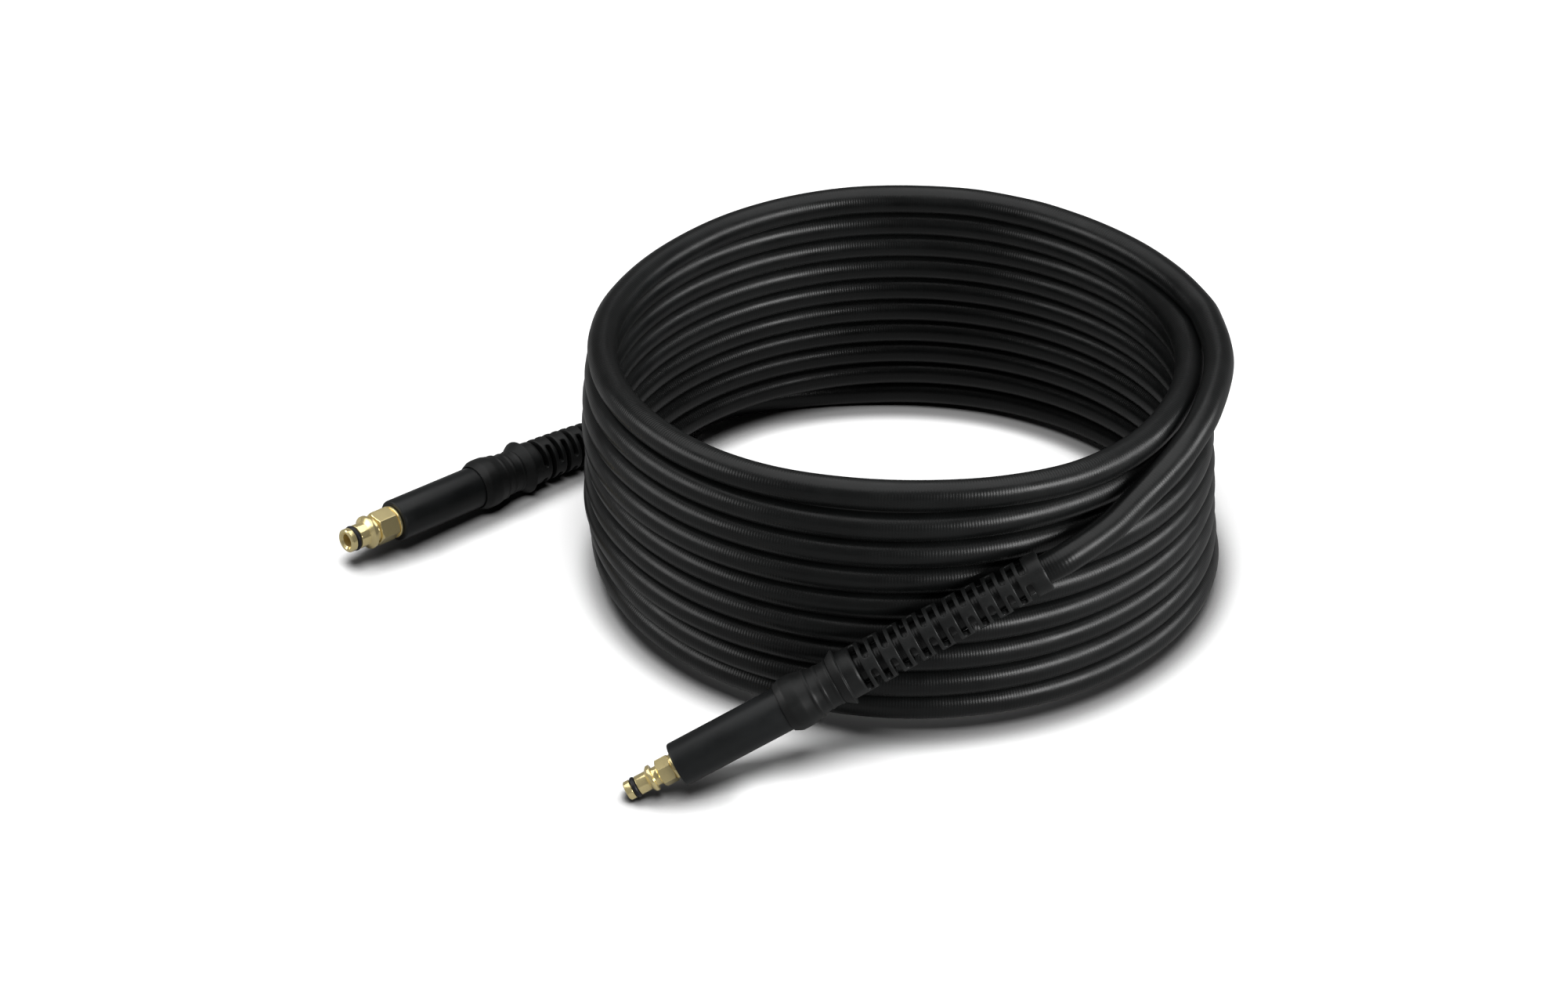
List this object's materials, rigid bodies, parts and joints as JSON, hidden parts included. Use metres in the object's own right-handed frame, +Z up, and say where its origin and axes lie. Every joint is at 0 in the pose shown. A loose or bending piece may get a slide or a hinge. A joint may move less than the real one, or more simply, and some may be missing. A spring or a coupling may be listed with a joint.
{
  "type": "pressure washer hose",
  "caption": "High-pressure hose wound into an upright coil, with a slotted bend protector, a smooth grip sleeve and a brass plug-in nipple on its ends.",
  "frame": {"origin": "middle of the whole part's outline seen from above, on the floor it stands on", "axes": "+Z up along the axis of the coil, +X to the right and +Y away from the side that both fittings lie on the left of"},
  "size_m": [0.3778, 0.3228, 0.1252],
  "materials": {
    "hose_rubber": "matte black rubber cover with fine cross-wise cloth marks",
    "boot_plastic": "soft black moulding, matte",
    "grip_plastic": "smooth black sleeve, satin",
    "seal_rubber": "smooth black rubber, slightly oiled",
    "brass": "turned and polished brass"
  },
  "bodies": {
    "root": {"hose_coil": "hose_rubber", "hose_tail_front": "hose_rubber", "hose_tail_rear": "hose_rubber", "front_bend_protector": "boot_plastic", "rear_bend_protector": "boot_plastic", "front_grip_sleeve": "grip_plastic", "rear_grip_sleeve": "grip_plastic", "front_nipple": "brass", "rear_nipple": "brass", "front_o_ring": "seal_rubber", "rear_o_ring": "seal_rubber"}
  },
  "joints": []
}
